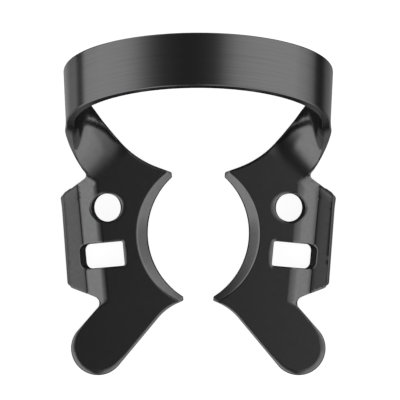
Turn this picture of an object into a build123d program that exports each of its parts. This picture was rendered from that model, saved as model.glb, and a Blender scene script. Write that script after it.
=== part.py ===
from build123d import *
import math
import os

# Rubber dam clamp, folded from one piece of spring sheet.
# Lengths are in millimetres and angles in degrees. +Z points away from the gum, +Y from the open
# ends of the jaws to the bow, and the clamp is the same on both sides of X = 0. The origin is the
# middle of the tooth grip, on the underside of the jaws.

# Sheet
sheet = 0.6

# Each jaw has a frame of its own, turned about Z so that the open ends come closer together.
toe_in = 5.3

# Tooth grip: an arc whose wall leans away from the tooth, which leaves a thin edge at the gum
grip_radius = 5.59
grip_reach = 3.73
grip_lean = 0.82
grip_middle = 0.11
prong_reach = 1.53
prong_tip_distal = 4.93
prong_tip_mesial = -4.64
prong_tip_round = 0.1

# Outer edges of the jaw
distal_heading = 25.0
distal_radius = 7.0
mesial_heading = -17.0
mesial_radius = 4.0

# Forceps hole
forceps_radius = 1.04
forceps_x = 6.49
forceps_y = 2.76

# Window
window_inner_x = 5.62
window_middle = -0.73
window_width = 1.82
window_inner_corner = 0.12
window_outer_corner = 0.5
window_outer_x = 8.95
window_outer_lean = 30.0

# Gutter: the sheet folds down along a line, to a sharp crease, and turns up again as the wing
fold_x = 6.55
crease_x = 8.61
fold_lead = 0.64
gutter_angle = 34.0
wing_angle = 20.0
crease_round = 0.33
gutter_distal_end = 5.3
gutter_mesial_end = -4.7
gutter_fade = 0.9

# Wing outline
wing_width_distal = 1.22
wing_width_mesial = 1.34
wing_corner_distal = 4.04
wing_corner_mesial = -2.85
wing_corner_round = 0.4
notch_distal_gap = (-0.10, -0.30)
notch_distal_round = 0.3
notch_mesial = (7.42, -4.08)
notch_mesial_round = 0.5

# Lobe at the open end
lobe_centre = (8.19, -7.56)
lobe_radius = 1.95
lobe_heading = -45.0

# Neck, where the leg leaves the jaw
neck_inner_corner = (5.06, 7.44)
neck_heading = 55.3
neck_width = 3.48

# Bow: an arch in a plane that leans back from the jaws, whose feet stand outside the necks
bow_outset = 2.42
bow_rise = 8.0
bow_foot_y = 10.1
bow_foot_z = 4.2
bow_lean = 19.0
bow_flare = 3.1
bow_width_foot = 4.18
bow_width_top = 3.95

# Leg, between the neck and the bow
leg_start_pull = 1.35
leg_end_pull = 2.6
leg_inner_half = 1.62
leg_outer_half = 1.48
leg_twist_delay = 0.95

# Working values
quarter_turn = 90.0
leg_steps = 9
bow_steps = 10
fade_steps = 7
cutter_reach = crease_x - fold_x + sheet
wing_stock = wing_width_distal + wing_width_mesial
jaw_frame = Rotation(0, 0, -toe_in)


def heading(angle):
    return Vector(math.cos(math.radians(angle)), math.sin(math.radians(angle)))


def crossing(point_a, angle_a, point_b, angle_b):
    # where two lines in one plane meet
    start_a = Vector(*point_a)
    way_a = heading(angle_a)
    way_b = heading(angle_b)
    gap = Vector(*point_b) - start_a
    return start_a + way_a * (gap.cross(way_b).Z / way_a.cross(way_b).Z)


def touching(point, centre, radius):
    # where a line from the point touches a circle that lies on its right
    gap = centre - point
    angle = math.degrees(math.atan2(gap.Y, gap.X) + math.asin(radius / gap.length))
    return point + heading(angle) * math.sqrt(gap.length**2 - radius**2)


def smooth(share):
    return share * share * (3 - 2 * share)


def between(first, last, share):
    return first + (last - first) * share


neck_side = heading(neck_heading + quarter_turn)
neck_inner = Vector(*neck_inner_corner)
neck_centre = neck_inner - neck_side * (neck_width / 2)
neck_outer = neck_inner - neck_side * neck_width
notch_distal = neck_outer + Vector(*notch_distal_gap)


def jaw_outline():
    # plan of the jaw: neck, wing and notches, then the lobe, then the prongs and back to the neck
    centre = Vector(*lobe_centre)
    lobe_tip = centre + heading(lobe_heading) * lobe_radius
    lobe_inner = centre + heading(lobe_heading - quarter_turn) * lobe_radius
    lobe_outer = touching(Vector(*notch_mesial), centre, lobe_radius)
    mesial_tip = Vector(prong_reach, prong_tip_mesial)
    distal_tip = Vector(prong_reach, prong_tip_distal)
    mesial_bend = crossing(mesial_tip, mesial_heading, lobe_inner, lobe_heading)
    distal_bend = crossing(distal_tip, distal_heading, neck_inner, neck_heading - toe_in)
    wing_side = [
        neck_outer,
        notch_distal,
        Vector(crease_x + wing_width_distal, wing_corner_distal),
        Vector(crease_x + wing_width_mesial, wing_corner_mesial),
        Vector(*notch_mesial),
        lobe_outer,
    ]
    wing_radii = [notch_distal_round, wing_corner_round, wing_corner_round, notch_mesial_round]
    prong_side = [lobe_inner, mesial_bend, mesial_tip, distal_tip, distal_bend, neck_inner]
    prong_radii = [mesial_radius, prong_tip_round, prong_tip_round, distal_radius]
    with BuildSketch() as plan:
        with BuildLine():
            FilletPolyline(*wing_side, radius=wing_radii)
            ThreePointArc(lobe_outer, lobe_tip, lobe_inner)
            FilletPolyline(*prong_side, radius=prong_radii)
            Line(neck_inner, neck_outer)
        make_face()
    return plan.sketch


def gutter_section(along, depth_share):
    # cross-section of fold, slope, crease and wing at one place along the jaw
    slope = -gutter_angle * depth_share
    rise = wing_angle * depth_share
    down = heading(slope)
    up = heading(rise)
    slope_under = heading(slope - quarter_turn)
    wing_under = heading(rise - quarter_turn)

    start = Vector(fold_x, sheet)
    knee = start + Vector(fold_lead, 0)
    crease = knee + down * ((crease_x - knee.X) / down.X)
    tip = crease + up * wing_stock
    tip_under = tip + wing_under * sheet
    half_bend = math.tan(math.radians(gutter_angle * depth_share / 2))
    knee_under = knee + Vector(-sheet * half_bend, -sheet)
    heel = crease + slope_under * sheet
    if depth_share:
        heel = crossing(heel, slope, tip_under, rise)
    heel_in = heel - down * crease_round
    heel_out = heel + up * crease_round
    start_under = start - Vector(0, sheet)

    def at(point):
        return (point.X, along, point.Y)

    return Wire([
        Bezier(at(start), at(knee), at(knee), at(crease)),
        Line(at(crease), at(tip)),
        Line(at(tip), at(tip_under)),
        Line(at(tip_under), at(heel_out)),
        Bezier(at(heel_out), at(heel), at(heel_in)),
        Bezier(at(heel_in), at(knee_under), at(knee_under), at(start_under)),
        Line(at(start_under), at(start)),
    ])


def gutter():
    # the fold keeps its full depth between two ends where it dies out towards the notches
    shares = [step / (fade_steps - 1) for step in range(fade_steps)]
    mesial = [gutter_section(gutter_mesial_end + gutter_fade * part, smooth(part)) for part in shares]
    distal = [gutter_section(gutter_distal_end - gutter_fade * part, smooth(part)) for part in shares]
    straight = Solid.make_loft([mesial[-1], distal[-1]])
    return Solid.make_loft(mesial) + straight + Solid.make_loft(distal)


def grip_cutter():
    # a round cutter that leans away from the tooth as it rises, one sheet past each face
    lean = Vector(grip_lean, 0, sheet)
    middle = Vector(grip_reach - grip_radius, grip_middle)
    low = Plane(origin=middle - lean) * Circle(grip_radius)
    high = Plane(origin=middle + lean + lean) * Circle(grip_radius)
    return loft([low, high])


def window_cutter():
    # punched before folding, so its outer wall leans with the slope
    lean = heading(quarter_turn - window_outer_lean)
    outer = Vector(window_outer_x, 0)
    with BuildSketch(Plane.XZ) as side:
        with BuildLine():
            Polyline(
                (window_inner_x, -cutter_reach),
                (window_inner_x, cutter_reach),
                outer + lean * cutter_reach,
                outer - lean * cutter_reach,
                close=True,
            )
        make_face()
    block = extrude(side.sketch, window_width / 2, both=True)
    ends = block.faces().filter_by(Axis.Y, reverse=True).filter_by(Axis.Z, reverse=True)
    ends = ends.sort_by(Axis.X)
    outer_posts = ends[-1].edges().filter_by(Axis.Y, reverse=True)
    block = fillet(outer_posts, window_outer_corner)
    inner_posts = block.edges().filter_by(Axis.Z)
    block = fillet(inner_posts, window_inner_corner)
    return Pos(0, window_middle, 0) * block


def jaw():
    outline = jaw_outline()
    corner = (Align.MIN, Align.MIN, Align.MIN)
    gutter_length = gutter_distal_end - gutter_mesial_end
    fold_zone = Box(crease_x - fold_x + wing_stock, gutter_length, 2 * cutter_reach, align=corner)
    flat = extrude(outline, sheet) - Pos(fold_x, gutter_mesial_end, -cutter_reach) * fold_zone
    folded = gutter() & extrude(Pos(0, 0, -cutter_reach) * outline, 2 * cutter_reach)
    blade = flat + folded
    blade -= grip_cutter()
    blade -= window_cutter()
    blade -= Pos(forceps_x, forceps_y) * Cylinder(forceps_radius, 2 * cutter_reach)
    return jaw_frame * blade


def strip_section(centre, travel, side, inner_half, outer_half):
    # rectangle across the strip, square to its travel, wider to one side of the middle if asked
    side = (side - travel * side.dot(travel)).normalized()
    middle = centre + side * ((inner_half - outer_half) / 2)
    plane = Plane(origin=middle, x_dir=side, z_dir=travel)
    return (plane * Rectangle(inner_half + outer_half, sheet)).wire()


def leg_and_bow():
    # the strip leaves the jaw flat, twists upright along the leg and arches over to X = 0
    neck = jaw_frame * Pos(neck_centre.X, neck_centre.Y, sheet / 2)
    start_way = heading(neck_heading - toe_in)
    start_side = heading(neck_heading - toe_in + quarter_turn)
    lean = math.radians(bow_lean)
    up = Vector(0, math.sin(lean), math.cos(lean))
    across = Vector(0, math.cos(lean), -math.sin(lean))
    outward = Vector(1, 0, 0)
    flare = outward * math.tan(math.radians(bow_flare))
    bow_half_width = neck.position.X + bow_outset
    foot = Vector(bow_half_width, bow_foot_y, bow_foot_z)
    first_pull = neck.position + start_way * leg_start_pull
    route = Bezier(neck.position, first_pull, foot - up * leg_end_pull, foot)

    sections = []
    for step in range(leg_steps):
        share = step / leg_steps
        turned = smooth(share**leg_twist_delay)
        side = between(start_side, across + flare, turned)
        if share < 1 / 2:
            waist = smooth(2 * share)
            inner_half = between(neck_width / 2, leg_inner_half, waist)
            outer_half = between(neck_width / 2, leg_outer_half, waist)
        else:
            waist = smooth(2 - 2 * share)
            inner_half = between(bow_width_foot / 2, leg_inner_half, waist)
            outer_half = between(bow_width_foot / 2, leg_outer_half, waist)
        sections.append(strip_section(route @ share, route % share, side, inner_half, outer_half))

    for step in range(bow_steps + 1):
        turn = math.radians(quarter_turn * step / bow_steps)
        rise = up * math.sin(turn)
        inset = outward * (math.cos(turn) - 1)
        centre = foot + rise * bow_rise + inset * bow_half_width
        travel = up * (bow_rise * math.cos(turn)) - outward * (bow_half_width * math.sin(turn))
        side = across + flare * math.cos(turn)
        half = between(bow_width_foot, bow_width_top, math.sin(turn) ** 2) / 2
        sections.append(strip_section(centre, travel.normalized(), side, half, half))
    return Solid.make_loft(sections)


def clamp():
    half = jaw() + leg_and_bow()
    return half + mirror(half, Plane.YZ)


if __name__ == "__main__":
    os.makedirs("parts", exist_ok=True)
    whole = clamp()
    print("solids", len(whole.solids()), "volume", round(whole.volume, 2))
    export_step(whole, "parts/clamp.step")
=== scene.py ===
import bpy
import math
import numpy as np
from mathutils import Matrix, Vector, geometry


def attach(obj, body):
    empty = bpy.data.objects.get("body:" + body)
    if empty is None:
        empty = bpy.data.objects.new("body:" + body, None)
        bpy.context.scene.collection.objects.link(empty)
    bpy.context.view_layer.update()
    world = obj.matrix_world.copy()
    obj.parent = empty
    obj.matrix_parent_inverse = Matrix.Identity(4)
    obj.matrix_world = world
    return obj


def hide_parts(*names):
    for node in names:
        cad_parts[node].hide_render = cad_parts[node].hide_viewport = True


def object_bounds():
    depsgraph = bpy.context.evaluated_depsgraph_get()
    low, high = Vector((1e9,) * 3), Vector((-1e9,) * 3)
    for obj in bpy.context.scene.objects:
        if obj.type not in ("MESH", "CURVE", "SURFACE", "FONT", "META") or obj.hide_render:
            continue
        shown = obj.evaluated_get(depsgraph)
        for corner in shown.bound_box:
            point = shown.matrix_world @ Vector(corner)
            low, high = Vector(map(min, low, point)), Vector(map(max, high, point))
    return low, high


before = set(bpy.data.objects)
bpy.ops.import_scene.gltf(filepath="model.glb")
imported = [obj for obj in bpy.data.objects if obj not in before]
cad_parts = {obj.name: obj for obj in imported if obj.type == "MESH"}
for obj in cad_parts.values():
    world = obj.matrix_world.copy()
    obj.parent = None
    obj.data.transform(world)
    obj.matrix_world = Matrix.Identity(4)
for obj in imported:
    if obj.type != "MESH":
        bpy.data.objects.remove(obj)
cadLow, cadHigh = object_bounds()
mm = 0.001


def srgb(code):
    # hex as a paint chart gives it, turned to the linear values that the shader wants
    parts = [int(code[i:i + 2], 16) / 255 for i in (0, 2, 4)]
    linear = [c / 12.92 if c <= 0.04045 else ((c + 0.055) / 1.055) ** 2.4 for c in parts]
    return (*linear, 1.0)


def addNode(tree, kind, settings=None, **links):
    # settings go on the node, links on its sockets: a value, or the socket that feeds it
    node = tree.nodes.new(kind)
    for name, value in (settings or {}).items():
        setattr(node, name, value)
    for name, value in links.items():
        key = int(name[2:]) if name.startswith("in") and name[2:].isdigit() else name.replace("_", " ")
        if isinstance(value, bpy.types.NodeSocket):
            tree.links.new(value, node.inputs[key])
        else:
            node.inputs[key].default_value = value
    return node


def emptyMaterial(name):
    mat = bpy.data.materials.new(name)
    mat.use_nodes = True
    mat.node_tree.nodes.clear()
    return mat, mat.node_tree


def meshObject(name, mesh, mat):
    mesh.materials.append(mat)
    made = bpy.data.objects.new(name, mesh)
    bpy.context.scene.collection.objects.link(made)
    return made


def cards(name, corners, mat):
    # flat cards of four corners each
    mesh = bpy.data.meshes.new(name)
    mesh.from_pydata(corners, [], [tuple(range(k, k + 4)) for k in range(0, len(corners), 4)])
    return meshObject(name, mesh, mat)


# One half of the clamp, in mm and degrees. The jaw lies in its own plan, u across the tooth and v along it;
# toeIn turns that plan to its place. The sheet is cut flat, then folded and arched.
sheet = {
    "thickness": 0.6,
    "toeIn": 5.3,
    "grip": {"radius": 5.59, "reach": 3.73, "middle": 0.11, "lean": 0.79},
    "prongs": {"reach": 1.53, "topReach": 1.85, "distal": 4.93, "mesial": -4.64, "tip": 0.09, "topTip": 0.02},
    "distalEdge": {"heading": 25.0, "radius": 7.0},
    "mesialEdge": {"heading": -17.0, "radius": 4.0},
    "hole": {"at": (6.49, 2.76), "radius": 1.04, "drawn": 0.24, "folded": 0.92, "sillFrom": -0.5},
    "window": {"from": 5.62, "to": 8.81, "middle": -0.73, "width": 1.82, "corners": (0.12, 0.5),
               "sillReach": 0.03},
    "gutter": {"fold": 6.98, "knee": 7.32, "crease": 8.57, "slope": 35.5, "wing": 20.0, "ends": (-4.9, 6.0),
               "fades": (0.8, 1.5), "drift": 1.3, "creaseRound": 0.15, "heelRound": 0.3, "kneeRound": 0.4,
               "slopePower": 0.6},
    "wing": {"distal": (9.91, 4.02), "mesial": (10.04, -2.87), "corner": 0.4},
    "notches": {"distal": (7.82, 5.16), "distalRound": 0.3, "mesial": (7.42, -4.08), "mesialRound": 0.5},
    "lobe": {"at": (8.17, -7.56), "radius": 2.0, "heading": -45.0},
    "neck": {"at": (6.49, 6.45), "heading": 55.3, "width": 3.48},
    "leg": {"startPull": 1.35, "endPull": 2.6, "inner": 1.66, "outer": 1.5, "innerWaist": (0.38, 0.8),
            "outerWaist": (0.5, 1.0), "twistDelay": 0.95, "bend": 2.0, "bendFade": (1.5, 4.5),
            "crown": 0.25, "crownFull": (1.5, 3.5), "crownTo": 6.0},
    "bow": {"halfWidth": 9.48, "rise": 8.0, "footY": 10.1, "footZ": 4.2, "lean": 19.0, "flare": 3.1,
            "footWidth": 4.2, "topWidth": 4.05, "bulge": 0.09, "ease": 0.4},
    # how far out the cuts shift on the underside: by place across the jaw, and more at the wing's own edge
    "underCuts": {"at": (6.95, 7.5, 8.49, 8.81, 9.15), "shift": (0, -0.28, -0.36, -0.39, 0), "wingEdge": 0.2,
                  "fade": 0.3},
    # how far each cut edge is rounded: across the face, and down the cut
    "rims": {"wing": (0.06, 0.04), "lobe": (0.42, 0.24), "jaw": (0.2, 0.11), "opening": (0.16, 0.1),
             "sill": (0.34, 0.17), "holeSill": (0.34, 0.1), "grip": (0.1, 0.035), "strip": (0.022, 0.02),
             "under": (0.1, 0.1)},
}
# How fine the mesh is, in mm: points along the cuts, rings beside them for the rounding, then a grid that is
# finer over the bends. Rows and columns are (from, to, step).
meshing = {
    "cutStep": 0.13,
    "stripCutStep": 0.16,
    "windowCutStep": 0.11,
    "holePoints": 64,
    "lobePoints": 60,
    "openEndPoints": 17,
    "ringSteps": 4,
    "ringGap": 0.03,
    "ringClear": 0.97,    # share of its own distance that a ring keeps from other edges
    "gridClear": 1.12,    # share of the rounding's width that the grid keeps from the edge
    "jawColumns": ((1.6, 6.8, 0.24), (6.85, 8.42, 0.11), (8.42, 8.86, 0.044), (8.92, 11, 0.2)),
    "jawRows": (-9.6, 7.6, 0.16),
    "jawUpTo": -1.25,
    "stripFrom": -1.2,
    "stripShort": 0.1,
    "stripStep": 0.2,
    "stripColumns": (-4.4, 4.41, 0.22),
    "gridGap": 0.055,
    "endGap": 0.06,
    "cell": 0.06,         # for looking up the points nearby
    "sliver": 2e-6,       # mm2, triangles of less than half this area are dropped
    "seam": 2e-3,         # points this near the middle are shared with the mirrored half
}
thickness = sheet["thickness"]
gutter = sheet["gutter"]


def heading(angle):
    return np.array([math.cos(math.radians(angle)), math.sin(math.radians(angle))])


def smooth(share):
    return share * share * (3 - 2 * share)


def cross2(a, b):
    return a[0] * b[1] - a[1] * b[0]


def unit(rows):
    return rows / np.linalg.norm(rows, axis=1)[:, None]


def runOf(path):
    # distance along a line of points
    return np.concatenate([[0], np.cumsum(np.linalg.norm(np.diff(path, axis=0), axis=1))])


def crossing(a, angleA, b, angleB):
    # where two lines meet, each given by a point and a heading
    wayA, wayB = heading(angleA), heading(angleB)
    return np.add(a, wayA * cross2(np.subtract(b, a), wayB) / cross2(wayA, wayB))


def inSteps(path, count):
    # the same line in so many equal steps, without its last point
    path = np.asarray(path, float)
    run = runOf(path)
    at = np.linspace(0, run[-1], count + 1)[:-1]
    return np.stack([np.interp(at, run, path[:, k]) for k in (0, 1)], 1)


def atPitch(path, pitch):
    return inSteps(path, max(1, round(runOf(np.asarray(path, float))[-1] / pitch)))


def arcPoints(centre, radius, start, sweep, count):
    return np.array([centre + radius * heading(start + sweep * k / count) for k in range(count + 1)])


def rounded(corners, arcPitch=0.03):
    # a line through (point, radius) corners, each inner corner turned with its radius
    points = [np.asarray(p, float) for p, radius in corners]
    line = [points[0]]
    for k in range(1, len(points) - 1):
        radius = corners[k][1]
        inWay = (points[k] - points[k - 1]) / np.linalg.norm(points[k] - points[k - 1])
        outWay = (points[k + 1] - points[k]) / np.linalg.norm(points[k + 1] - points[k])
        turn = math.atan2(cross2(inWay, outWay), float(inWay @ outWay))
        if radius <= 0 or abs(turn) < 1e-4:
            line.append(points[k])
            continue
        start = points[k] - inWay * abs(radius * math.tan(turn / 2))
        side = math.copysign(1, turn)
        centre = start + side * radius * np.array([-inWay[1], inWay[0]])
        first = math.degrees(math.atan2(*(start - centre)[::-1]))
        count = max(4, int(abs(turn) * radius / arcPitch))
        line.extend(arcPoints(centre, radius, first, math.degrees(turn), count))
    line.append(points[-1])
    return np.array(line)


neck = np.array(sheet["neck"]["at"])
neckWay = heading(sheet["neck"]["heading"])
neckSide = heading(sheet["neck"]["heading"] + 90)
neckHalf = sheet["neck"]["width"] / 2
toe = math.radians(-sheet["toeIn"])
toeTurn = np.array([[math.cos(toe), -math.sin(toe)], [math.sin(toe), math.cos(toe)]])


def stripRoute(steps=240, lead=3.0, leadSteps=60, beyondSteps=40):
    # the strip's middle line from the neck up the leg and over half the bow: place, side and half widths
    leg, bow = sheet["leg"], sheet["bow"]
    start = np.append(toeTurn @ neck, thickness / 2)
    way = np.append(toeTurn @ neckWay, 0)
    startSide = np.append(toeTurn @ neckSide, 0)
    lean = math.radians(bow["lean"])
    up = np.array([0, math.sin(lean), math.cos(lean)])
    across = np.array([0, math.cos(lean), -math.sin(lean)])
    out = np.array([1.0, 0, 0])
    flare = out * math.tan(math.radians(bow["flare"]))
    foot = np.array([bow["halfWidth"], bow["footY"], bow["footZ"]])
    pulls = [start, start + way * leg["startPull"], foot - up * leg["endPull"], foot]
    # the flat jaw leads in, so that the bend at the neck starts gently
    place = [start - way * lead * (1 - k / leadSteps) for k in range(leadSteps)]
    side = [startSide] * leadSteps
    travel = [way] * leadSteps
    inner = [neckHalf] * leadSteps
    outer = [neckHalf] * leadSteps
    footHalf = bow["footWidth"] / 2

    def widths(s, edge):
        # the strip narrows to a waist and widens again towards the bow
        waist, wide = leg[edge + "Waist"]
        first, second = smooth(min(1, s / waist)), smooth(min(1, max(0, (s - waist) / (wide - waist))))
        return neckHalf + (leg[edge] - neckHalf) * first + (footHalf - leg[edge]) * second

    for k in range(steps):
        s = k / steps
        r = 1 - s
        place.append(pulls[0] * r ** 3 + 3 * pulls[1] * s * r * r
                     + 3 * pulls[2] * s * s * r + pulls[3] * s ** 3)
        travel.append((pulls[1] - pulls[0]) * r * r + 2 * (pulls[2] - pulls[1]) * s * r
                      + (pulls[3] - pulls[2]) * s * s)
        turned = smooth(s ** leg["twistDelay"])
        side.append(startSide * (1 - turned) + (across + flare) * turned)
        inner.append(widths(s, "inner"))
        outer.append(widths(s, "outer"))
    for k in range(steps + 1):
        turn = math.pi / 2 * k / steps
        # an ellipse, a little fuller near its foot
        fuller = bow["bulge"] * math.sin(2 * turn) * math.cos(turn) ** 2
        inset = bow["halfWidth"] * (1 - math.cos(turn)) - fuller
        place.append(foot + up * bow["rise"] * math.sin(turn) - out * inset)
        travel.append(up * bow["rise"] * math.cos(turn) - out * bow["halfWidth"] * math.sin(turn))
        side.append(across + flare * math.cos(turn))
        half = footHalf + (bow["topWidth"] / 2 - footHalf) * math.sin(turn) ** 2
        inner.append(half)
        outer.append(half)
    place, travel, side = np.array(place), unit(np.array(travel)), np.array(side)
    side = unit(side - travel * np.sum(side * travel, 1)[:, None])
    run = runOf(place) - lead
    # past its top the bow goes on as its own mirror image, so that easing it leaves the top whole
    beyond = slice(-2, -2 - beyondSteps, -1)
    mirror = np.array([-1.0, 1, 1])
    return {"run": run, "inner": np.array(inner), "outer": np.array(outer), "length": run[-1],
            "easeRun": np.concatenate([run, 2 * run[-1] - run[beyond]]),
            "place": np.concatenate([place, place[beyond] * mirror]),
            "side": np.concatenate([side, side[beyond] * mirror])}


route = stripRoute()


def eased(values, at, width):
    # the running mean of the route's values over a width that may change from place to place
    run = route["easeRun"]
    steps = (values[1:] + values[:-1]) / 2 * np.diff(run)[:, None]
    total = np.concatenate([np.zeros((1, 3)), np.cumsum(steps, axis=0)])
    return np.stack([np.interp(at + width / 2, run, total[:, k]) - np.interp(at - width / 2, run, total[:, k])
                     for k in range(3)], 1) / width[:, None]


def stripMiddle(along, across):
    width = np.interp(along, sheet["leg"]["bendFade"], [sheet["leg"]["bend"], sheet["bow"]["ease"]])
    side = unit(eased(route["side"], along, width))
    return eased(route["place"], along, width) + side * across[:, None], side


def gutterShare(v):
    low, high = gutter["ends"]
    lowFade, highFade = gutter["fades"]
    return smooth(np.clip(np.minimum((v - low) / lowFade, (high - v) / highFade), 0, 1))


def highest(a, b, blend):
    # the larger of the two, with a rounded change from one to the other
    return (a + b + np.sqrt((a - b) ** 2 + blend * blend)) / 2


def jawTop(u, v):
    # flat, then a round bend into the gutter's slope, then from the crease up the wing
    share = gutterShare(v)
    # never quite flat, so that the bend's radius stays finite
    angle = np.radians(np.maximum(gutter["slope"] * share ** gutter["slopePower"], 0.01))
    rise = np.tan(np.radians(gutter["wing"] * share))
    start = gutter["fold"] + gutter["drift"] * (1 - share)
    knee = start + gutter["knee"] - gutter["fold"]
    bottom = -np.tan(angle) * np.maximum(gutter["crease"] - knee, 0)
    radius = (knee - start) / np.tan(angle / 2)
    into = np.clip(u - start, 0, radius * np.sin(angle))
    bend = np.sqrt(radius ** 2 - into ** 2) - radius
    fold = np.where(u < start + radius * np.sin(angle), bend, -np.tan(angle) * (u - knee))
    wing = bottom + (u - gutter["crease"]) * rise
    return thickness + np.where(share > 0, highest(fold, wing, gutter["creaseRound"] * share), 0)


def jawUnder(u, v):
    share = gutterShare(v)
    slope = np.radians(gutter["slope"] * share ** gutter["slopePower"])
    rise = np.radians(gutter["wing"] * share)
    knee = gutter["knee"] + gutter["drift"] * (1 - share)
    fold = thickness - np.tan(slope) * (u - knee) - thickness / np.cos(slope)
    wing = (thickness - np.tan(slope) * np.maximum(gutter["crease"] - knee, 0)
            + np.tan(rise) * (u - gutter["crease"]) - thickness / np.cos(rise))
    plate = -highest(-fold, 0 * fold, gutter["kneeRound"] * share)
    return highest(plate, wing, gutter["heelRound"] * share)


def underShift(u, v):
    # the cuts run square to the folded sheet, so on the underside they lie further in or out
    wing, cuts = sheet["wing"], sheet["underCuts"]
    beside = smooth(np.clip(np.minimum(v - wing["mesial"][1], wing["distal"][1] - v) / cuts["fade"], 0, 1))
    outmost = np.interp(u, cuts["at"][-2:], (0, 1))
    return gutterShare(v) * (np.interp(u, cuts["at"], cuts["shift"]) + cuts["wingEdge"] * beside * outmost)


def formed(plan, top):
    # from the flat plan to the folded sheet's upper or lower face
    flat = np.column_stack([plan @ toeTurn.T, (jawTop if top else jawUnder)(plan[:, 0], plan[:, 1])])
    along, across = (plan - neck) @ neckWay, (plan - neck) @ neckSide
    leg = sheet["leg"]
    lifted = along > -leg["bend"] / 2
    if lifted.any():
        along, across, h = along[lifted], across[lifted], 0.01
        here, side = stripMiddle(along, across)
        face = unit(np.cross(stripMiddle(along + h, across)[0] - stripMiddle(along - h, across)[0], side))
        start = np.column_stack([flat[lifted, :2], np.full(len(along), thickness / 2)])
        flat[lifted] += here - start + (1 if top else -1) * (face - [0, 0, 1]) * thickness / 2
        # where a strip is bent upwards its two edges curl a little the other way
        ends = [-leg["bend"] / 2, *leg["crownFull"], leg["crownTo"]]
        crown = smooth(np.interp(along, ends, [0, 1, 1, 0])) * leg["crown"]
        flat[lifted] -= face * (crown * (np.maximum(across, 0) / neckHalf) ** 2)[:, None]
    return flat


def faceOf(plan, top, h=0.004):
    # the unit vector square to the formed sheet, always on the upper side
    du = formed(plan + [h, 0], top) - formed(plan - [h, 0], top)
    dv = formed(plan + [0, h], top) - formed(plan - [0, h], top)
    return unit(np.cross(du, dv))


def ringShares():
    count = meshing["ringSteps"]
    return [1 - math.cos(math.pi / 2 * k / count) for k in range(1, count + 1)]


def gripLine(top, arcSteps=80, flankLength=0.6):
    # the edge that grips the tooth, from one prong's flank round both tips to the other's
    grip, prongs = sheet["grip"], sheet["prongs"]
    reach = prongs["topReach"] if top else prongs["reach"]
    tip = prongs["topTip"] if top else prongs["tip"]
    centre = np.array([grip["reach"] - grip["radius"] + (grip["lean"] if top else 0), grip["middle"]])
    half = math.degrees(math.acos((reach - centre[0]) / grip["radius"]))
    arc = arcPoints(centre, grip["radius"], -half, 2 * half, arcSteps)
    ends = []
    for v, edge in ((prongs["mesial"], "mesialEdge"), (prongs["distal"], "distalEdge")):
        flank = heading(sheet[edge]["heading"])
        base = np.array([prongs["reach"], v])
        ends.append((base + flank * (reach - prongs["reach"]) / flank[0], base + flank * flankLength))
    line = rounded([(ends[0][1], 0), (ends[0][0], tip), (arc[0], tip / 2)] + [(p, 0) for p in arc[1:-1]]
                   + [(arc[-1], tip / 2), (ends[1][0], tip), (ends[1][1], 0)], arcPitch=0.01)
    corners = (ends[0][0], arc[0], arc[arcSteps // 2], arc[-1], ends[1][0])
    marks = [int(np.argmin(np.linalg.norm(line - p, axis=1))) for p in corners]
    marks = [0] + marks + [len(line) - 1]
    # the same counts on both faces, so that the wall between them joins point to point
    counts = (6, 5, 42, 42, 5, 6)
    return np.concatenate([inSteps(line[a:b + 1], n) for a, b, n in zip(marks, marks[1:], counts)]), ends


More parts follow.
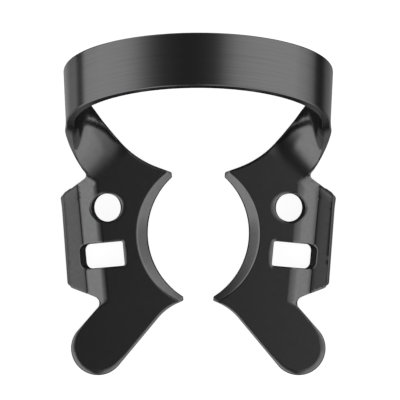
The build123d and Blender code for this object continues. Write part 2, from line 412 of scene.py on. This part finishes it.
def outerLoop():
    # from the neck's outer corner round wing, lobe, prongs and strip, once for each face of the sheet
    pitch = meshing["cutStep"]
    lobe, wing, notches = sheet["lobe"], sheet["wing"], sheet["notches"]
    centre, radius = np.array(lobe["at"]), lobe["radius"]
    gap = centre - notches["mesial"]
    far = float(np.linalg.norm(gap))
    swing = math.degrees(math.atan2(gap[1], gap[0]) + math.asin(radius / far))
    lobeOuter = notches["mesial"] + heading(swing) * math.sqrt(far ** 2 - radius ** 2)
    lobeInner = centre + heading(lobe["heading"] - 90) * radius
    # the wing leans, so its upper edge lies further in than its lower one
    setBack = [thickness * math.sin(math.radians(gutter["wing"])), 0]
    wingSide = rounded([(neck - neckSide * neckHalf, 0), (notches["distal"], notches["distalRound"]),
                        (np.subtract(wing["distal"], setBack), wing["corner"]),
                        (np.subtract(wing["mesial"], setBack), wing["corner"]),
                        (notches["mesial"], notches["mesialRound"]), (lobeOuter, 0)])
    first = math.degrees(math.atan2(*(lobeOuter - centre)[::-1]))
    last = math.degrees(math.atan2(*(lobeInner - centre)[::-1]))
    tipArc = arcPoints(centre, radius, first, (last - first) % -360, meshing["lobePoints"])
    topGrip, ends = gripLine(True)
    underGrip = gripLine(False)[0]
    mesial, distal = sheet["mesialEdge"], sheet["distalEdge"]
    neckInner = neck + neckSide * neckHalf
    mesialBend = crossing(ends[0][1], mesial["heading"], lobeInner, lobe["heading"])
    distalBend = crossing(ends[1][1], distal["heading"], neckInner, sheet["neck"]["heading"] - sheet["toeIn"])
    beforeParts = [atPitch(line, pitch) for line in (
        wingSide, tipArc, rounded([(lobeInner, 0), (mesialBend, mesial["radius"]), (ends[0][1], 0)]))]
    before = np.concatenate(beforeParts)
    after = atPitch(rounded([(ends[1][1], 0), (distalBend, distal["radius"]), (neckInner, 0)]), pitch)
    along = np.linspace(0, route["length"], round(route["length"] / meshing["stripCutStep"]) + 1)
    inner = np.interp(along, route["run"], route["inner"])
    outer = np.interp(along, route["run"], route["outer"])
    innerEdge = neck + np.outer(along, neckWay) + np.outer(inner, neckSide)
    outerEdge = neck + np.outer(along, neckWay) - np.outer(outer, neckSide)
    # the open end at the top of the bow, where the mirrored half joins on
    rim = inner[-1] - np.array(ringShares()) * sheet["rims"]["strip"][0]
    flat = np.linspace(rim[-1], -rim[-1], meshing["openEndPoints"])
    across = np.concatenate([rim[:-1], flat, -rim[:-1][::-1]])
    endEdge = neck + neckWay * route["length"] + np.outer(across, neckSide)
    kinds = (["wing"] * len(beforeParts[0]) + ["lobe"] * len(beforeParts[1]) + ["jaw"] * len(beforeParts[2])
             + ["grip"] * len(topGrip) + ["jaw"] * len(after) + ["strip"] * len(innerEdge)
             + ["end"] * len(endEdge) + ["strip"] * (len(outerEdge) - 1))
    loops = [np.concatenate([before, grip, after, innerEdge, endEdge, outerEdge[:0:-1]])
             for grip in (topGrip, underGrip)]
    jaw = np.array([kind in ("wing", "lobe", "jaw") for kind in kinds])
    loops[1][jaw, 0] += underShift(*loops[1][jaw].T)
    return loops[0], loops[1], kinds


def openings():
    hole, window = sheet["hole"], sheet["window"]
    turns = np.radians(360 * np.arange(meshing["holePoints"]) / meshing["holePoints"])
    circle = hole["radius"] * np.column_stack([np.cos(turns), np.sin(turns)])
    # the fold draws the hole's rim outwards on the upper face and narrows it below
    drawn = hole["drawn"] * (1 + np.cos(turns)) / 2
    ring = np.array(hole["at"]) + circle + np.column_stack([drawn, 0 * turns])
    ringUnder = np.array(hole["at"]) + circle * [hole["folded"], 1]
    low, high = window["middle"] - window["width"] / 2, window["middle"] + window["width"] / 2
    start, end = window["from"], window["to"]
    small, large = window["corners"]
    middle = ((start, window["middle"]), 0)
    corners = [middle, ((start, low), small), ((end, low), large), ((end, high), large),
               ((start, high), small), middle]
    box = atPitch(rounded(corners, arcPitch=0.02), meshing["windowCutStep"])
    boxUnder = box.copy()
    boxUnder[:, 0] += underShift(*box.T)
    # more rounded: the third of the hole's rim that lies nearest the tooth, and the window's inner end
    ringKinds = ["holeSill" if c < hole["sillFrom"] else "opening" for c in np.cos(turns)]
    boxKinds = ["sill" if u < start + window["sillReach"] else "opening" for u, v in box]
    return [(ring, ringUnder, ringKinds), (box, boxUnder, boxKinds)]


def inside(points, loops):
    hit = np.zeros(len(points), bool)
    for loop in loops:
        for (x0, y0), (x1, y1) in zip(loop, np.roll(loop, -1, axis=0)):
            if y0 != y1:
                hit ^= (((y0 > points[:, 1]) != (y1 > points[:, 1]))
                        & (points[:, 0] < (x1 - x0) * (points[:, 1] - y0) / (y1 - y0) + x0))
    return hit


def rimOf(kinds, top):
    # width and depth of the rounding at each point of a loop, eased from one kind of edge to the next
    rims = sheet["rims"]
    names = [("strip" if kind == "end" else kind) if top else "under" for kind in kinds]
    rows = np.array([rims[name] for name in names])
    reach = 7    # points to either side
    padded = np.concatenate([rows[-reach:], rows, rows[:reach]])
    box = np.ones(2 * reach + 1) / (2 * reach + 1)
    return np.stack([np.convolve(padded[:, k], box, "valid") for k in (0, 1)], 1)


def nearestEdge(points, loops, kinds, top):
    # for each point: distance to the nearest cut edge, that edge's rim, and the way out to it
    best = np.full(len(points), np.inf)
    rim = np.ones((len(points), 2))
    out = np.zeros((len(points), 2))
    for loop, kind in zip(loops, kinds):
        rims = rimOf(kind, top)
        for k in range(len(loop)):
            k2 = (k + 1) % len(loop)
            if "end" in (kind[k], kind[k2]):
                continue
            edge = loop[k2] - loop[k]
            share = np.clip((points - loop[k]) @ edge / (edge @ edge), 0, 1)
            gap = loop[k] + share[:, None] * edge - points
            dist = np.linalg.norm(gap, axis=1)
            near = dist < best
            best[near] = dist[near]
            rim[near] = (rims[k] + (rims[k2] - rims[k]) * share[:, None])[near]
            out[near] = gap[near] / np.maximum(dist[near], 1e-9)[:, None]
    return best, rim, out


def planMesh(loops, kinds, top):
    # rings of points inside each cut edge for its rounding, a grid between them, then triangles over all
    batches = []
    for loop, kind in zip(loops, kinds):
        wide = rimOf(kind, top)[:, 0]
        way = unit(np.roll(loop, -1, axis=0) - np.roll(loop, 1, axis=0))
        inward = np.column_stack([way[:, 1], -way[:, 0]])
        free = np.array([name != "end" for name in kind])
        for share in ringShares():
            need = wide * share
            batches.append(((loop + inward * need[:, None])[free], need[free], meshing["ringGap"]))
    us = np.concatenate([np.arange(*column) for column in meshing["jawColumns"]])
    jawGrid = np.array([(u, v) for v in np.arange(*meshing["jawRows"]) for u in us])
    batches.append((jawGrid[(jawGrid - neck) @ neckWay < meshing["jawUpTo"]], None, meshing["gridGap"]))
    alongs = np.arange(meshing["stripFrom"], route["length"] - meshing["stripShort"], meshing["stripStep"])
    sides = np.arange(*meshing["stripColumns"])
    stripGrid = np.array([neck + neckWay * a + neckSide * t for a in alongs for t in sides])
    batches.append((stripGrid, None, meshing["gridGap"]))
    cell = meshing["cell"]
    taken = {}

    def claim(p, gap):
        i, j = int(p[0] // cell), int(p[1] // cell)
        for x in (i - 1, i, i + 1):
            for y in (j - 1, j, j + 1):
                for q in taken.get((x, y), ()):
                    if (q[0] - p[0]) ** 2 + (q[1] - p[1]) ** 2 < gap * gap:
                        return False
        taken.setdefault((i, j), []).append(p)
        return True

    points = [p for loop in loops for p in loop]
    for p in points:
        claim(p, 0)
    for batch, need, gap in batches:
        ok = inside(batch, loops)
        batch = batch[ok]
        dist, rim, out = nearestEdge(batch, loops, kinds, top)
        wanted = rim[:, 0] * meshing["gridClear"] if need is None else need[ok] * meshing["ringClear"]
        gaps = np.full(len(batch), gap) if need is None else np.minimum(gap, need[ok] / 2)
        endGap = meshing["endGap"] / (1 if need is None else 2)
        clear = (dist > wanted) & ((batch - neck) @ neckWay < route["length"] - endGap)
        points += [p for p, g, good in zip(batch, gaps, clear) if good and claim(p, g)]
    edges, start = [], 0
    for loop in loops:
        edges += [(start + k, start + (k + 1) % len(loop)) for k in range(len(loop))]
        start += len(loop)
    plan, _, faces, origins, _, _ = geometry.delaunay_2d_cdt([Vector(p) for p in points], edges, [], 0, 1e-6)
    plan = np.array([tuple(p) for p in plan])
    place = {old: new for new, olds in enumerate(origins) for old in olds}
    faces = np.array(faces)
    wide = plan[faces]
    twiceArea = np.abs(cross2((wide[:, 1] - wide[:, 0]).T, (wide[:, 2] - wide[:, 0]).T))
    return plan, faces[inside(wide.mean(axis=1), loops) & (twiceArea > meshing["sliver"])], place


def clothed(plan, loops, kinds, top):
    # places and normals of one face, rounded off towards every cut edge
    dist, rim, out = nearestEdge(plan, loops, kinds, top)
    q = np.clip(1 - dist / rim[:, 0], 0, 1)
    fall = np.sqrt(1 - q * q)
    sign = 1 if top else -1
    face = faceOf(plan, top) * sign
    h = 0.01
    outward = formed(plan + out * h, top) - formed(plan - out * h, top)
    outward = outward / np.maximum(np.linalg.norm(outward, axis=1), 1e-12)[:, None]
    places = formed(plan, top) - face * (rim[:, 1] * (1 - fall))[:, None]
    return places, unit(face * fall[:, None] + outward * (rim[:, 1] / rim[:, 0] * q)[:, None])


# The wall down a cut, in rows of points: (share of the depth on a plain cut; on the grip's bevel the share of
# its width, the share of its depth, the degrees from straight up that it faces). The bevel has a dark foot.
cutWall = {
    "rows": ((0.12, 0.13, 0.15, 26), (0.5, 0.5, 0.45, 24.5), (0.8, 0.89, 0.68, 24), (0.84, 0.9, 0.7, 76),
             (0.9, 1.0, 0.78, 80)),
    "lipAngle": 40,
    "fullFrom": 0.4,    # share of the grip's lean from which a cut counts as all bevel
}


def halfClamp():
    rows = [outerLoop()] + openings()
    kinds = [row[2] for row in rows]
    places, normals, plans, faces, seats = [], [], [], [], []
    for top in (True, False):
        loops = [row[0 if top else 1] for row in rows]
        plan, tris, seat = planMesh(loops, kinds, top)
        base = sum(len(p) for p in places)
        place, normal = clothed(plan, loops, kinds, top)
        places.append(place)
        normals.append(normal)
        plans.append(plan)
        seats.append({old: new + base for old, new in seat.items()})
        faces += [tuple(int(i) + base for i in (tri if top else tri[::-1])) for tri in tris]
    places, normals, plans = (list(np.concatenate(block)) for block in (places, normals, plans))
    start = 0
    for loop, kind in zip((row[0] for row in rows), kinds):
        count = len(loop)
        upper = [seats[0][start + k] for k in range(count)]
        lower = [seats[1][start + k] for k in range(count)]
        start += count
        cutNormal = []
        for k in range(count):
            k0, k1 = (k - 1) % count, (k + 1) % count
            # at the open end the wall keeps the heading of the strip's own edge
            if kind[k1] == "end":
                k1 = k
            if kind[k0] == "end":
                k0 = k
            way = places[upper[k1]] - places[upper[k0]] + places[lower[k1]] - places[lower[k0]]
            down = np.array([0, 0, -1.0]) if kind[k] == "grip" else places[lower[k]] - places[upper[k]]
            cut = np.cross(way, down)
            cutNormal.append(cut / max(np.linalg.norm(cut), 1e-12))
        bevel = [0.0] * count
        for k in range(count):
            if kind[k] == "grip":
                lean = np.linalg.norm((places[lower[k]] - places[upper[k]])[:2])
                bevel[k] = min(1, lean / (cutWall["fullFrom"] * sheet["grip"]["lean"]))

        def tilted(k, tilt):
            # square to the cut, or nearer to upright where the bevel lies back
            back = math.radians((90 - tilt) * bevel[k])
            return cutNormal[k] * math.cos(back) + np.array([0, 0, math.sin(back)])

        walls = [upper]
        for deep, bevelOut, bevelDeep, tilt in cutWall["rows"]:
            wall = []
            for k in range(count):
                wall.append(len(places))
                gap = places[lower[k]] - places[upper[k]]
                across = deep + (bevelOut - deep) * bevel[k]
                depth = deep + (bevelDeep - deep) * bevel[k]
                places.append(places[upper[k]] + gap * [across, across, depth])
                normals.append(tilted(k, tilt))
                plans.append(plans[upper[k]])
            walls.append(wall)
        walls.append(lower)
        for k in range(count):
            if kind[k] != "end":
                normals[upper[k]] = tilted(k, cutWall["lipAngle"])
                normals[lower[k]] = cutNormal[k]
            k2 = (k + 1) % count
            if "end" not in (kind[k], kind[k2]):
                faces += [(a[k], a[k2], b[k2], b[k]) for a, b in zip(walls, walls[1:])]
    return np.array(places), np.array(normals), np.array(plans), faces


def clampMesh():
    places, normals, plans, faces = halfClamp()
    used = sorted({i for face in faces for i in face})
    renumber = {old: new for new, old in enumerate(used)}
    faces = [tuple(renumber[i] for i in face) for face in faces]
    places, normals, plans = places[used], normals[used], plans[used]
    # the mirrored half shares the points of the open end
    seam = np.abs(places[:, 0]) < meshing["seam"]
    places[seam, 0] = 0
    normals[seam, 0] = 0
    twin, extra = {}, []
    for i in range(len(places)):
        twin[i] = i if seam[i] else len(places) + len(extra)
        if not seam[i]:
            extra.append(i)
    flip = np.array([-1.0, 1, 1])
    places = np.concatenate([places, places[extra] * flip])
    normals = unit(np.concatenate([normals, normals[extra] * flip]))
    plans = np.concatenate([plans, plans[extra]])
    faces += [tuple(twin[i] for i in face[::-1]) for face in faces]
    mesh = bpy.data.meshes.new("foldedSheet")
    mesh.from_pydata([tuple(p) for p in places * mm], [], faces)
    mesh.polygons.foreach_set("use_smooth", [True] * len(mesh.polygons))
    along = (plans - neck) @ neckWay
    across = (plans - neck) @ neckSide
    for name, values in (("along", along), ("across", across)):
        mesh.attributes.new(name, "FLOAT", "POINT").data.foreach_set("value", values.astype(np.float32))
    mesh.normals_split_custom_set_from_vertices([tuple(n) for n in normals])
    return mesh


print("sheet: cut, folded and arched")

# Steel with a dark vapour-deposited coating: a metal's reflections, only about a fifth as bright
coating = {
    "colour": "7b7b7c",
    "roughness": 0.17,
    "grain": 0.08,          # mm, the blasted grain under the coating
    "grainDepth": 0.0006,   # mm
    "cloud": 0.35,          # mm, faint patches in the coating
    "brushPitch": 0.11,     # mm between the marks of the finishing belt, drawn coarser than the real ones
    "brushLength": 7.0,     # mm
    "brushFrom": 7.0,       # mm from the neck along the strip
    "brushFade": 2.0,       # mm
    "patternSpan": (0.25, 0.75),
    "shades": (0.92, 1.09),
}


def coatedSteel():
    mat, tree = emptyMaterial("darkCoatedSpringSteel")
    place = addNode(tree, "ShaderNodeTexCoord")
    grain = addNode(tree, "ShaderNodeTexNoise", Vector=place.outputs["Object"],
                    Scale=1 / (coating["grain"] * mm), Detail=2.0)
    bump = addNode(tree, "ShaderNodeBump", Height=grain.outputs["Fac"], Distance=coating["grainDepth"] * mm)
    cloud = addNode(tree, "ShaderNodeTexNoise", Vector=place.outputs["Object"],
                    Scale=1 / (coating["cloud"] * mm), Detail=4.0, Roughness=0.7)
    # the bow was belt-ground lengthwise before it was coated
    along = addNode(tree, "ShaderNodeAttribute", {"attribute_name": "along"}).outputs["Fac"]
    across = addNode(tree, "ShaderNodeAttribute", {"attribute_name": "across"}).outputs["Fac"]
    length = addNode(tree, "ShaderNodeMath", {"operation": "DIVIDE"}, in0=along, in1=coating["brushLength"])
    pitch = addNode(tree, "ShaderNodeMath", {"operation": "DIVIDE"}, in0=across, in1=coating["brushPitch"])
    lines = addNode(tree, "ShaderNodeCombineXYZ", X=length.outputs[0], Y=pitch.outputs[0])
    brushed = addNode(tree, "ShaderNodeTexNoise", Vector=lines.outputs[0], Scale=1.0, Detail=2.0)
    onBow = addNode(tree, "ShaderNodeMapRange", Value=along, From_Min=coating["brushFrom"],
                    From_Max=coating["brushFrom"] + coating["brushFade"], To_Min=0.0, To_Max=1.0)
    pattern = addNode(tree, "ShaderNodeMix", {"data_type": "FLOAT"}, in0=onBow.outputs[0],
                      in2=cloud.outputs["Fac"], in3=brushed.outputs["Fac"])
    low, high = coating["patternSpan"]
    shade = addNode(tree, "ShaderNodeMapRange", Value=pattern.outputs[0], From_Min=low, From_Max=high,
                    To_Min=coating["shades"][0], To_Max=coating["shades"][1])
    tone = addNode(tree, "ShaderNodeMix", {"data_type": "RGBA", "blend_type": "MULTIPLY"}, in0=1.0,
                   in6=srgb(coating["colour"]), in7=shade.outputs[0])
    metal = addNode(tree, "ShaderNodeBsdfPrincipled", Base_Color=tone.outputs[2], Metallic=1.0,
                    Roughness=coating["roughness"], Normal=bump.outputs["Normal"])
    addNode(tree, "ShaderNodeOutputMaterial", Surface=metal.outputs["BSDF"])
    return mat


clamp = meshObject("clampSheet", clampMesh(), coatedSteel())
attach(clamp, "root")
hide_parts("clamp")
print("clamp: sheet in place, coated")

# Camera straight above, as in the photograph
view = {
    "pixelsPerMm": 13.5,         # at the jaws' top face
    "frame": 400,                # pixels
    "centre": (0.126, 2.704),    # mm
    "height": 320.0,             # mm above the jaws' top face
    "jawTop": 0.6,               # mm
    "sensor": 36.0,              # mm
    "clip": 0.01,                # m
}
camData = bpy.data.cameras.new("copyStandCamera")
camData.sensor_width = view["sensor"]
camData.lens = view["sensor"] * view["height"] / (view["frame"] / view["pixelsPerMm"])
camData.clip_start = view["clip"]
camera = bpy.data.objects.new("copyStandCamera", camData)
camera.location = (view["centre"][0] * mm, view["centre"][1] * mm, (view["height"] + view["jawTop"]) * mm)
bpy.context.scene.collection.objects.link(camera)
bpy.context.scene.camera = camera
print("camera: straight above")

# Studio: light cards at both sides and behind, none overhead where the camera looks down, so that flat faces
# stay dark. Each row is (degrees from straight up, towards the right if positive; light).
studio = {
    "cards": [(-180, 0.3), (-90, 0.95), (-70, 0.95), (-58, 0.9), (-50, 0.55), (-42, 0.31), (-32, 0.2),
              (-22, 0.09), (-10, 0.055), (-4, 0.045), (-1.5, 0.02), (0, 0.06), (2, 0.2), (5, 0.3), (12, 0.38),
              (30, 0.48), (45, 0.55), (60, 0.66), (68, 0.92), (75, 0.95), (90, 0.95), (180, 0.3)],
    "cardsInFront": [(-180, 0.3), (-90, 0.95), (-42, 0.95), (-30, 0.88), (-22, 0.62), (-15, 0.2), (-10, 0.09),
                     (-5, 0.07), (-1, 0.08), (1, 0.14), (4, 0.28), (8, 0.46), (13, 0.62), (20, 0.7),
                     (37, 0.78), (60, 0.9), (90, 0.9), (180, 0.3)],
    "cardsBehind": [(-180, 0.3), (-90, 0.95), (-65, 0.88), (-55, 0.68), (-50, 0.49), (-45, 0.33), (-38, 0.18),
                    (-30, 0.1), (-15, 0.065), (0, 0.07), (10, 0.1), (15, 0.13), (20, 0.24), (25, 0.45),
                    (30, 0.6), (35, 0.76), (45, 0.87), (60, 0.95), (90, 0.95), (180, 0.3)],
    # how far a ray leans towards +Y or -Y where those cards begin to show, and where they alone show
    "behindFrom": (0.15, 0.5),
    "frontFrom": (-0.03, -0.2),
}


def ramp(tree, source, rows, low, high):
    # light by position between low and high, straight from each row to the next
    share = addNode(tree, "ShaderNodeMapRange", Value=source, From_Min=low, From_Max=high,
                    To_Min=0.0, To_Max=1.0)
    node = addNode(tree, "ShaderNodeValToRGB", Fac=share.outputs[0])
    stops = node.color_ramp.elements
    while len(stops) < len(rows):
        stops.new(0.5)
    for stop, (place, light) in zip(stops, rows):
        stop.position = (place - low) / (high - low)
        stop.color = (light, light, light, 1.0)
    return node.outputs["Color"]


def blend(tree, share, first, second):
    # between two colours, the second where the share is 1
    node = addNode(tree, "ShaderNodeMix", {"data_type": "RGBA"}, in0=share, in6=first, in7=second)
    return node.outputs[2]


def studioWorld():
    world = bpy.data.worlds.new("studio")
    bpy.context.scene.world = world
    world.use_nodes = True
    tree = world.node_tree
    tree.nodes.clear()
    way = addNode(tree, "ShaderNodeTexCoord")
    parts = addNode(tree, "ShaderNodeSeparateXYZ", Vector=way.outputs["Generated"])
    turn = addNode(tree, "ShaderNodeMath", {"operation": "ARCTAN2"}, in0=parts.outputs["X"],
                   in1=parts.outputs["Z"])
    degrees = addNode(tree, "ShaderNodeMath", {"operation": "DEGREES"}, in0=turn.outputs[0])
    light = ramp(tree, degrees.outputs[0], studio["cards"], -180, 180)
    for name, span in (("cardsInFront", "frontFrom"), ("cardsBehind", "behindFrom")):
        start, end = studio[span]
        share = addNode(tree, "ShaderNodeMapRange", {"interpolation_type": "SMOOTHSTEP"},
                        Value=parts.outputs["Y"], From_Min=start, From_Max=end, To_Min=0.0, To_Max=1.0)
        light = blend(tree, share.outputs[0], light, ramp(tree, degrees.outputs[0], studio[name], -180, 180))
    ray = addNode(tree, "ShaderNodeLightPath")
    seen = blend(tree, ray.outputs["Is Camera Ray"], light, (1.0, 1.0, 1.0, 1.0))
    back = addNode(tree, "ShaderNodeBackground", Color=seen, Strength=1.0)
    addNode(tree, "ShaderNodeOutputWorld", Surface=back.outputs[0])


studioWorld()


# White card under the clamp, sizes in mm. In reflections it has darker boards on it, which draw the stripes
# on the bow: each row is (place across, light).
whiteCard = {
    "gap": 0.3,        # below the object
    "half": 600.0,
    "glow": 0.9,
    "card": 0.4,
    "boards": [(-90, 0.9), (-36, 0.85), (-30, 0.08), (-24.5, 0.1), (-21, 0.46), (-16, 0.32), (-13, 0.42),
               (-10.8, 0.4), (-10.2, 0.03), (10.2, 0.03), (10.8, 0.3), (15.5, 0.25), (20, 0.03), (27, 0.05),
               (34, 0.42), (50, 0.65), (90, 0.8)],
}


def whiteFloor():
    mat, tree = emptyMaterial("whiteCard")
    place = addNode(tree, "ShaderNodeTexCoord")
    parts = addNode(tree, "ShaderNodeSeparateXYZ", Vector=place.outputs["Object"])
    across = addNode(tree, "ShaderNodeMath", {"operation": "DIVIDE"}, in0=parts.outputs["X"], in1=mm)
    boards = ramp(tree, across.outputs[0], whiteCard["boards"], -90, 90)
    mirrored = addNode(tree, "ShaderNodeEmission", Color=boards)
    card = addNode(tree, "ShaderNodeBsdfDiffuse", Color=(whiteCard["card"],) * 3 + (1.0,))
    glow = addNode(tree, "ShaderNodeEmission", Color=(1.0, 1.0, 1.0, 1.0), Strength=whiteCard["glow"])
    seen = addNode(tree, "ShaderNodeAddShader", in0=card.outputs[0], in1=glow.outputs[0])
    ray = addNode(tree, "ShaderNodeLightPath")
    mix = addNode(tree, "ShaderNodeMixShader", in0=ray.outputs["Is Glossy Ray"], in1=seen.outputs[0],
                  in2=mirrored.outputs[0])
    addNode(tree, "ShaderNodeOutputMaterial", Surface=mix.outputs[0])
    half, low = whiteCard["half"] * mm, cadLow[2] - whiteCard["gap"] * mm
    corners = [(-half, -half, low), (half, -half, low), (half, half, low), (-half, half, low)]
    floor = cards("floor", corners, mat)


whiteFloor()


# Black card behind the clamp, in mm: a wide low part and a narrower top. The tops of the legs reflect it.
flag = {"behind": 14.7, "lowHalf": 17.0, "lowTop": 3.2, "half": 10.5, "top": 8.5, "light": 0.02}


def blackFlag():
    mat, tree = emptyMaterial("blackFlag")
    dark = addNode(tree, "ShaderNodeEmission", Color=(flag["light"],) * 3 + (1.0,))
    addNode(tree, "ShaderNodeOutputMaterial", Surface=dark.outputs[0])
    y, corners = flag["behind"] * mm, []
    for half, low, top in ((flag["lowHalf"] * mm, cadLow[2], flag["lowTop"] * mm),
                           (flag["half"] * mm, flag["lowTop"] * mm, flag["top"] * mm)):
        corners += [(-half, y, low), (half, y, low), (half, y, top), (-half, y, top)]
    card = cards("blackFlag", corners, mat)
    card.visible_camera = card.visible_shadow = card.visible_diffuse = False


blackFlag()
bpy.context.scene.view_settings.view_transform = "Standard"
print("studio: floor and light")
